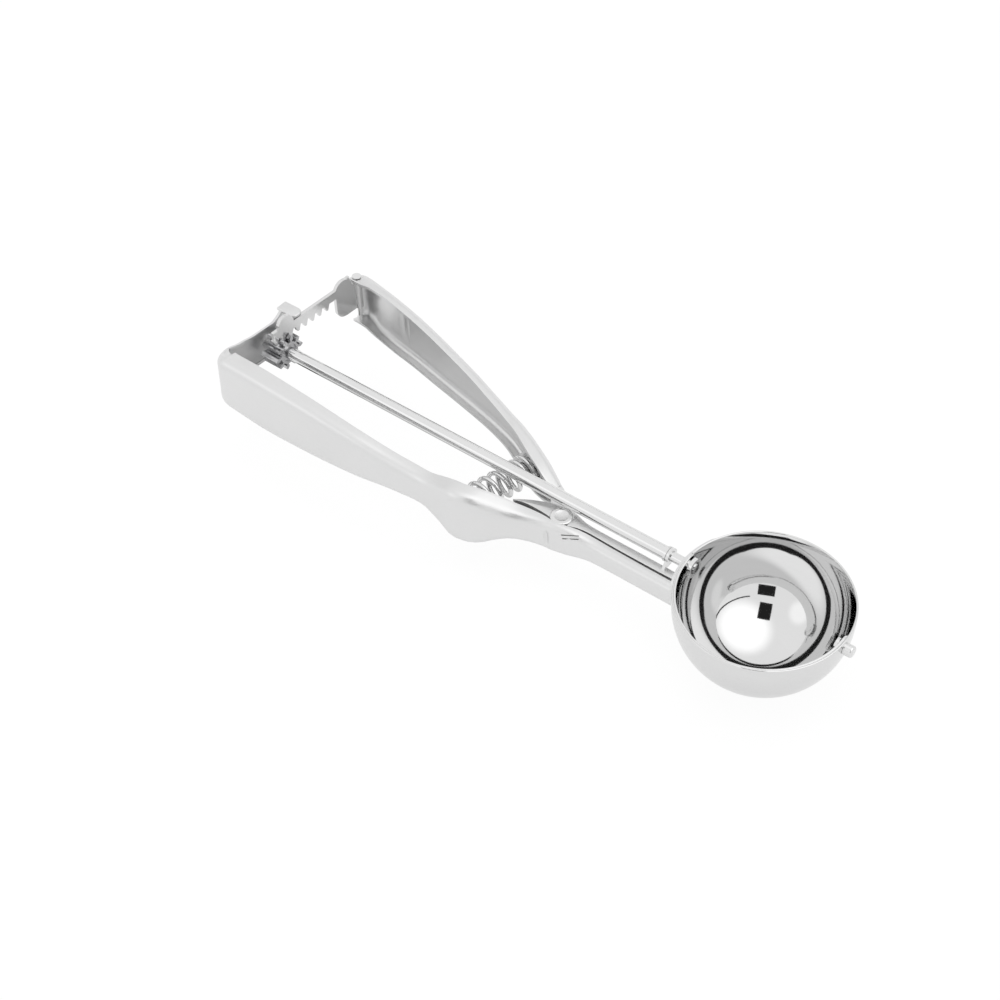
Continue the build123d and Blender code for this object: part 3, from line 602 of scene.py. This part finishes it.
def rear_wall_rows():
    """Rows from the lever's side of the end wall to the rounded rear corner."""
    rows = []
    for k in range(WALL_STEPS + 1):
        y = between(WALL_Y[0], WALL_Y[1], k / WALL_STEPS)
        x = WALL_X + y * math.tan(math.radians(WALL_TURN))
        low = WALL_LOW + max(0.0, y - WALL_LOW_RISE[0]) * WALL_LOW_RISE[1]
        rows.append(section((x, y), (1, 0), WALL_DEPTH, low, wall_top(y), WALL_ROUND, lean=WALL_LEAN))
    for k in range(1, CORNER_STEPS + 1):
        part = k / CORNER_STEPS
        a = math.pi / 2 * part
        out = (-math.cos(a), -math.sin(a))
        point = [centre + step * CORNER_RADIUS for centre, step in zip(CORNER_CENTRE, out)]
        ease = eased_part(part)
        cover = math.sin(a) ** CORNER_COVER
        rows.append(section(
            point, (-out[0], -out[1]), between(*CORNER_DEPTH, cover), between(*CORNER_LOW, ease),
            between(*CORNER_TOP, ease), between(*CORNER_ROUND, ease), lean=WALL_LEAN * (1 - ease),
        ))
    return rows


def on_saddle(point):
    """The point, no further in than the middle of the saddle plate."""
    side = SADDLE_MIDDLE ** 2 - point.y ** 2 - (point.z + AXIS_DEPTH) ** 2
    limit = -math.sqrt(max(0.0, side))
    return Vector((min(point.x, limit), point.y, point.z))


def slit(start, end):
    """A slanting blade for cutting a narrow slot in a bend, between two places in plan."""
    a, b = Vector(start), Vector(end)
    side = Vector((-(b - a).y, (b - a).x)).normalized() * SLOT_WIDTH / 2
    rows = []
    for z in SLOT_HEIGHTS:
        shift = Vector(SLOT_SLANT) * (z - SLOT_Z)
        rows.append([(*(p + shift), z) for p in (a + side, b + side, b - side, a - side)])
    return outward(grid_mesh("slit", rows, round_columns=True))


def make_main_handle():
    """The grip with its end wall and rear corner in one sheet, and the keeper's tab over the rack."""
    rows = rear_wall_rows()
    places = steps_between(*GRIP_X, COARSE_STEP, fine=GRIP_FINE)
    for x, web, depth, height, corner in stations_at(GRIP_STATIONS, places):
        low, top = middle_z(x) - height / 2, middle_z(x) + height / 2
        row = section((x, web), (0, 1), depth, low, top, corner, groove=crease(x, *GRIP_CREASE))
        rows.append([on_saddle(p) for p in row])
    shell = pressed("main_handle_sheet", rows, (0, -1, 0))
    for start, end in SLOTS:
        shell = cut(shell, slit(start, end))
    shell = smooth(outward(shell, join=1e-7, close=False), 50)
    thing = place("main_handle_sheet", shell, "main_handle")
    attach(thing, "frame")
    rounded = arc((-176.8, 7.2), 2.0, 90, 0, 10) + arc((-176.3, 6.5), 1.5, 0, -90, 10)
    tab = plate_mesh("rack_keeper", KEEPER_REAR + rounded, *KEEPER_Z, 0.4)
    keeper = place("rack_keeper", smooth(tab, 40), "main_handle")
    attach(keeper, "frame")


def plate_mesh(name, outline, low, high, round_edge):
    """A flat plate with its edges rounded."""
    rows = [[(x, y, z) for x, y in outline] for z in (low, high)]
    blank = outward(grid_mesh(name, rows, round_columns=True))
    return worked(blank, soft_edges(round_edge, 60))


def end_of(node, plane_x, name):
    """What a node has on the bowl's side of a plane, closed at the plane."""
    form = bmesh.new()
    form.from_mesh(merged(node))
    everything = list(form.verts) + list(form.edges) + list(form.faces)
    bmesh.ops.bisect_plane(
        form, geom=everything, plane_co=(plane_x * MM, 0, 0), plane_no=(1, 0, 0), clear_inner=True
    )
    bmesh.ops.holes_fill(form, edges=[edge for edge in form.edges if edge.is_boundary])
    mesh = bpy.data.meshes.new(name)
    form.to_mesh(mesh)
    form.free()
    return mesh


LEVER_ROUND = 3.2          # of its rear end, in plan
LEVER_ROUND_X = -171.8
LEVER_REAR = (-175.0, -172.6)
LEVER_END = -72.8          # of the sheet, at the knuckle
LEVER_LIP = 0.2            # least flange beyond a bend
KNUCKLE_X = -73.2          # the knuckle starts here, and overlaps the sheet a little


def make_lever():
    """The lever's channel up to the knuckle, and the knuckle as it is packed."""
    places = steps_between(*LEVER_REAR, FINE_STEP)
    places += steps_between(LEVER_ROUND_X, LEVER_END, COARSE_STEP, fine=LEVER_FINE)
    rows = []
    for x, web, depth, height, corner in stations_at(LEVER_STATIONS, places):
        past = max(0.0, LEVER_ROUND_X - x)
        back = LEVER_ROUND - math.sqrt(max(0.0, LEVER_ROUND ** 2 - past ** 2))
        web, depth = web - back, depth - back
        low = middle_z(x) - height / 2
        top = middle_z(x) + height / 2 - crease(x, *LEVER_DIP)
        corner = min(corner, depth - LEVER_LIP)
        rows.append(section((x, web), (0, -1), depth, low, top, corner, groove=crease(x, *LEVER_CREASE)))
    sheet = smooth(pressed("lever_sheet", rows, (0, 1, 0)), 50)
    thing = place("lever_sheet", sheet, "lever_handle")
    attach(thing, "lever")
    packed = smooth(end_of("lever_handle", KNUCKLE_X, "lever_knuckle"), 35)
    knuckle = place("lever_knuckle", packed, "lever_handle")
    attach(knuckle, "lever")


def smooth_line(points, steps=6):
    """Points on a smooth curve through the points."""
    result = []
    padded = [points[0]] + points + [points[-1]]
    for corners in zip(padded, padded[1:], padded[2:], padded[3:]):
        for k in range(steps):
            result.append(tuple(curve_value(*values, k / steps) for values in zip(*corners)))
    return result + [points[-1]]


def curve_value(p, q, r, s, t):
    """A value between q and r on a curve that also heeds p and s."""
    bend = (2 * p - 5 * q + 4 * r - s) * t * t + (3 * q - p - 3 * r + s) * t ** 3
    return 0.5 * (2 * q + (r - p) * t + bend)


# Neck plate in plan: its edge beside the main handle, from the bowl to its tip, and back under the rod.
PLATE_NEAR = [
    (-24.6, -4.8), (-32.7, -4.9), (-44.7, -4.8), (-51.7, -4.6), (-56.0, -4.6), (-59.5, -5.2),
    (-64.0, -6.9), (-66.5, -6.5), (-69.0, -5.9), (-74.0, -5.7), (-77.5, -6.0), (-80.4, -6.8),
]
PLATE_FAR = [
    (-80.4, -6.6), (-76.0, -3.8), (-70.5, -1.4), (-66.0, -0.3), (-62.0, -0.6), (-57.5, -1.8),
    (-51.0, -2.1), (-40.0, -2.1), (-24.8, -2.3),
]
LEDGE_BACK = [(-78.0, -9.0), (-70.0, -9.0), (-60.0, -8.4), (-50.0, -7.4), (-24.6, -7.4)]
LEDGE_OVERLAP = 0.3    # of the ledge under the plate
PLATE_WEB = [(-24.3, -3.2), (-24.3, -2.3), (-50.0, -2.3), (-50.0, -3.2)]
PLATE_Z = (-6.6, -5.6)
LEDGE_Z = (-7.4, -6.7)
WEB_Z = (-12.4, -6.3)


def make_neck_plate():
    """Inner half of the neck: a top plate round the rivet, a ledge under its joint whose dark finish is
    painted shade, and a web.
    """
    near = smooth_line(PLATE_NEAR)
    top = plate_mesh("neck_plate_top", near + smooth_line(PLATE_FAR), *PLATE_Z, 0.25)
    plate = place("neck_plate_top", smooth(top, 40), "neck_plate")
    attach(plate, "frame")
    outline = [(x, y + LEDGE_OVERLAP) for x, y in near] + LEDGE_BACK
    shelf = plate_mesh("neck_plate_ledge", outline, *LEDGE_Z, 0.05)
    # The ledge's dark finish is painted shade for the gap at the plate's joint.
    ledge = place("neck_plate_ledge", shelf, "neck_plate", "painted_seam_shade")
    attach(ledge, "frame")
    web = plate_mesh("neck_plate_web", PLATE_WEB, *WEB_Z, 0.2)
    side = place("neck_plate_web", smooth(web, 40), "neck_plate")
    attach(side, "frame")


make_bowl()
make_blade()
make_spring()
make_main_handle()
make_lever()
make_neck_plate()

for name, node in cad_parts.items():
    material = FINISH[finish_for(name)]
    if node.material_slots:
        for slot in node.material_slots:
            slot.material = material
    else:
        node.data.materials.append(material)


# ---------------------------------------------------------------- floor, light and camera
WORLD_LEVEL = 0.75     # what the white all round gives as light
FLOOR_HALF = 3.0
FLOOR_TONE = 1.03
FLOOR_IN_METAL = 0.6   # share of its even tone in a reflection
FLOOR_IN_PICTURE = 0.9
CARD_LIFT = 0.0004
GLOW_DISTANCE = 1.2
GLOW_START = 0.35      # the fade begins at this share of a card's reach


def flat_shader(name, colour, strength):
    """A plain diffuse surface that metal and glass see as an even tone."""
    material = bpy.data.materials.new(name)
    material.use_nodes = True
    tree = material.node_tree
    tree.nodes.clear()
    out = tree.nodes.new("ShaderNodeOutputMaterial")
    diffuse = tree.nodes.new("ShaderNodeBsdfDiffuse")
    diffuse.inputs["Color"].default_value = (colour, colour, colour, 1)
    even = tree.nodes.new("ShaderNodeEmission")
    even.inputs["Strength"].default_value = strength
    path = tree.nodes.new("ShaderNodeLightPath")
    seen = maths(tree, "MAXIMUM", path.outputs["Is Glossy Ray"], path.outputs["Is Transmission Ray"])
    mix = tree.nodes.new("ShaderNodeMixShader")
    tree.links.new(seen, mix.inputs[0])
    tree.links.new(diffuse.outputs[0], mix.inputs[1])
    tree.links.new(even.outputs[0], mix.inputs[2])
    tree.links.new(mix.outputs[0], out.inputs["Surface"])
    return material


def glow(name, centre, reach, middle, edge):
    """An even tone that fades from the middle of a card to its edge."""
    material = flat_shader(name, 1.0, middle)
    tree = material.node_tree
    coordinates = tree.nodes.new("ShaderNodeTexCoord")
    away = tree.nodes.new("ShaderNodeVectorMath")
    away.operation = "DISTANCE"
    tree.links.new(coordinates.outputs["Object"], away.inputs[0])
    away.inputs[1].default_value = centre
    fade = tree.nodes.new("ShaderNodeMapRange")
    fade.interpolation_type = "SMOOTHERSTEP"
    fade.inputs["From Min"].default_value = reach * GLOW_START
    fade.inputs["From Max"].default_value = reach
    fade.inputs["To Min"].default_value = middle
    fade.inputs["To Max"].default_value = edge
    tree.links.new(away.outputs["Value"], fade.inputs["Value"])
    even = [node for node in tree.nodes if node.type == "EMISSION"][0]
    tree.links.new(fade.outputs["Result"], even.inputs["Strength"])
    return material


def world_light():
    """White all round for the camera, metal and glass, and a plain level for what it lights."""
    world = bpy.data.worlds.new("studio")
    bpy.context.scene.world = world
    world.use_nodes = True
    tree = world.node_tree
    tree.nodes.clear()
    out = tree.nodes.new("ShaderNodeOutputWorld")
    light = tree.nodes.new("ShaderNodeBackground")
    light.inputs["Strength"].default_value = WORLD_LEVEL
    white = tree.nodes.new("ShaderNodeBackground")
    white.inputs["Strength"].default_value = 1.0
    for node in (light, white):
        node.inputs["Color"].default_value = (1, 1, 1, 1)
    path = tree.nodes.new("ShaderNodeLightPath")
    seen = maths(tree, "MAXIMUM", path.outputs["Is Camera Ray"], path.outputs["Is Transmission Ray"])
    seen = maths(tree, "MAXIMUM", seen, path.outputs["Is Glossy Ray"])
    mix = tree.nodes.new("ShaderNodeMixShader")
    tree.links.new(seen, mix.inputs[0])
    tree.links.new(light.outputs[0], mix.inputs[1])
    tree.links.new(white.outputs[0], mix.inputs[2])
    tree.links.new(mix.outputs[0], out.inputs["Surface"])


def lamp(name, position, target, width, height, power):
    """A soft lamp that the metal doesn't reflect."""
    data = bpy.data.lights.new(name, "AREA")
    data.shape = "RECTANGLE"
    data.size = width
    data.size_y = height
    data.energy = power
    lamp_object = bpy.data.objects.new(name, data)
    bpy.context.scene.collection.objects.link(lamp_object)
    lamp_object.visible_glossy = False
    turn = (Vector(target) - Vector(position)).to_track_quat("-Z", "Y").to_matrix().to_4x4()
    lamp_object.matrix_world = Matrix.Translation(position) @ turn


def aimed(azimuth, elevation, distance):
    """A place in the studio, seen from the bowl: azimuth 0 is the main handle's side, 90 the front pin's."""
    a, e = math.radians(azimuth), math.radians(elevation)
    return Vector((math.sin(a) * math.cos(e), -math.cos(a) * math.cos(e), math.sin(e))) * distance


def hidden_panel(name, mesh, material):
    """A studio card: metal reflects it, and it isn't in the picture and throws no shadow."""
    panel = bpy.data.objects.new(name, mesh)
    bpy.context.scene.collection.objects.link(panel)
    mesh.materials.append(material)
    panel.visible_camera = False
    panel.visible_diffuse = False
    panel.visible_shadow = False
    panel.visible_transmission = False
    panel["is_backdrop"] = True


def card(name, azimuth, elevation, distance, width, height, material):
    """A flat card that faces the bowl."""
    position = aimed(azimuth, elevation, distance)
    mesh = bpy.data.meshes.new(name)
    w, h = width / 2, height / 2
    mesh.from_pydata([(-w, -h, 0), (w, -h, 0), (w, h, 0), (-w, h, 0)], [], [(0, 1, 2, 3)])
    facing = (-position).to_track_quat("Z", "Y").to_matrix().to_4x4()
    mesh.transform(Matrix.Translation(position) @ facing)
    hidden_panel(name, mesh, material)


def glow_card(name, azimuth, elevation, reach, middle):
    """A bright card whose tone fades at its edge to the white all round."""
    material = glow(name, aimed(azimuth, elevation, GLOW_DISTANCE), reach, middle, 1.0)
    card(name, azimuth, elevation, GLOW_DISTANCE, 2 * reach, 2 * reach, material)


def floor_shadow_card(name, outline, material):
    """A card of painted shadow lying on the floor under the scoop, which only the metal above it reflects.
    """
    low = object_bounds()[0][2] + CARD_LIFT
    mesh = bpy.data.meshes.new(name)
    mesh.from_pydata([(x, y, low) for x, y in outline], [], [tuple(range(len(outline)))])
    hidden_panel(name, mesh, material)


def ribbon(name, route, distance, height, material):
    """A narrow band round the studio through places given by azimuth and elevation."""
    rows = []
    for azimuth, elevation in route:
        middle = aimed(azimuth, elevation, distance)
        rows.append([middle - Vector((0, 0, height / 2)), middle + Vector((0, 0, height / 2))])
    mesh = bpy.data.meshes.new(name)
    points = [p for row in rows for p in row]
    faces = [(2 * i, 2 * i + 1, 2 * i + 3, 2 * i + 2) for i in range(len(rows) - 1)]
    mesh.from_pydata(points, [], faces)
    hidden_panel(name, mesh, material)


def studio_floor():
    """A wide floor at the scoop's lowest point."""
    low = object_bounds()[0][2]
    mesh = bpy.data.meshes.new("floor")
    w = FLOOR_HALF
    mesh.from_pydata([(-w, -w, low), (w, -w, low), (w, w, low), (-w, w, low)], [], [(0, 1, 2, 3)])
    floor = bpy.data.objects.new("floor", mesh)
    bpy.context.scene.collection.objects.link(floor)
    mesh.materials.append(floor_finish())
    floor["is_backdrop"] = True


def floor_finish():
    """White floor: an even white, darkened only by the soft shadow of the scoop."""
    material = bpy.data.materials.new("floor_white")
    material.use_nodes = True
    tree = material.node_tree
    tree.nodes.clear()
    out = tree.nodes.new("ShaderNodeOutputMaterial")
    diffuse = tree.nodes.new("ShaderNodeBsdfDiffuse")
    diffuse.inputs["Color"].default_value = (0.9, 0.9, 0.9, 1)
    even = tree.nodes.new("ShaderNodeEmission")
    even.inputs["Strength"].default_value = FLOOR_TONE
    path = tree.nodes.new("ShaderNodeLightPath")
    seen = maths(tree, "MAXIMUM", path.outputs["Is Glossy Ray"], path.outputs["Is Transmission Ray"])
    seen = maths(tree, "MULTIPLY", seen, FLOOR_IN_METAL)
    camera_share = maths(tree, "MULTIPLY", path.outputs["Is Camera Ray"], FLOOR_IN_PICTURE)
    seen = maths(tree, "MAXIMUM", seen, camera_share)
    mix = tree.nodes.new("ShaderNodeMixShader")
    tree.links.new(seen, mix.inputs[0])
    tree.links.new(diffuse.outputs[0], mix.inputs[1])
    tree.links.new(even.outputs[0], mix.inputs[2])
    tree.links.new(mix.outputs[0], out.inputs["Surface"])
    return material


def edge_route(corners, steps=6):
    """Azimuths and elevations evenly along a route through its corners."""
    route = []
    for (a0, e0), (a1, e1) in zip(corners, corners[1:]):
        route += [(between(a0, a1, k / steps), between(e0, e1, k / steps)) for k in range(steps)]
    return route + [corners[-1]]


# Painted shadow: outlines in metres of the darker floor under the grip and under the gear, which only the
# metal reflects.
SHADOW_UNDER_GRIP = [
    (-0.178, -0.020), (-0.120, -0.012), (-0.084, -0.004), (-0.084, 0.006), (-0.120, 0.020), (-0.172, 0.032),
]
SHADOW_UNDER_GEAR = [(-0.186, -0.014), (-0.158, -0.014), (-0.158, 0.020), (-0.186, 0.020)]
EDGE_LINE = [(291, 22), (254, 24), (215, 26), (175, 30), (137, 30), (104, 31), (79, 34), (51, 37)]

world_light()
studio_floor()
lamp("soft_top", (-0.1, 0.1, 1.2), (-0.08, 0, 0), 1.2, 1.2, 5)
dark = flat_shader("card_dark", 0.02, 0.02)
shadow_grey = flat_shader("card_shadow_grey", 0.45, 0.62)
card("card_camera_low", 25, 29, 0.6, 0.24, 0.15, dark)
card("card_camera_high", 22, 57, 0.6, 0.18, 0.24, dark)
glow_card("card_soft_sky", 105, 68, 1.15, 1.45)
glow_card("card_soft_side", -36, 33, 0.42, 1.22)
# Painted shadow on the floor under the grip and the gear: a grey card and a dark card that only the metal
# reflects.
floor_shadow_card("painted_shadow_under_grip", SHADOW_UNDER_GRIP, shadow_grey)
floor_shadow_card("painted_shadow_under_gear", SHADOW_UNDER_GEAR, dark)
ribbon("card_edge_line", edge_route(EDGE_LINE), 1.0, 0.035, dark)

CAMERA_PLACE = (0.138648, -0.279682, 0.360738)
CAMERA_RIGHT = Vector((0.789721, 0.612922, -0.025838))
CAMERA_UP = Vector((-0.429518, 0.582504, 0.690075))
camera_data = bpy.data.cameras.new("camera")
camera_data.sensor_width = 36
camera_data.lens = 63
camera_data.clip_start = 0.01
camera = bpy.data.objects.new("camera", camera_data)
bpy.context.scene.collection.objects.link(camera)
camera_turn = Matrix((CAMERA_RIGHT, CAMERA_UP, CAMERA_RIGHT.cross(CAMERA_UP))).transposed().to_4x4()
camera.matrix_world = Matrix.Translation(CAMERA_PLACE) @ camera_turn
bpy.context.scene.camera = camera
bpy.context.scene.view_settings.view_transform = "Standard"
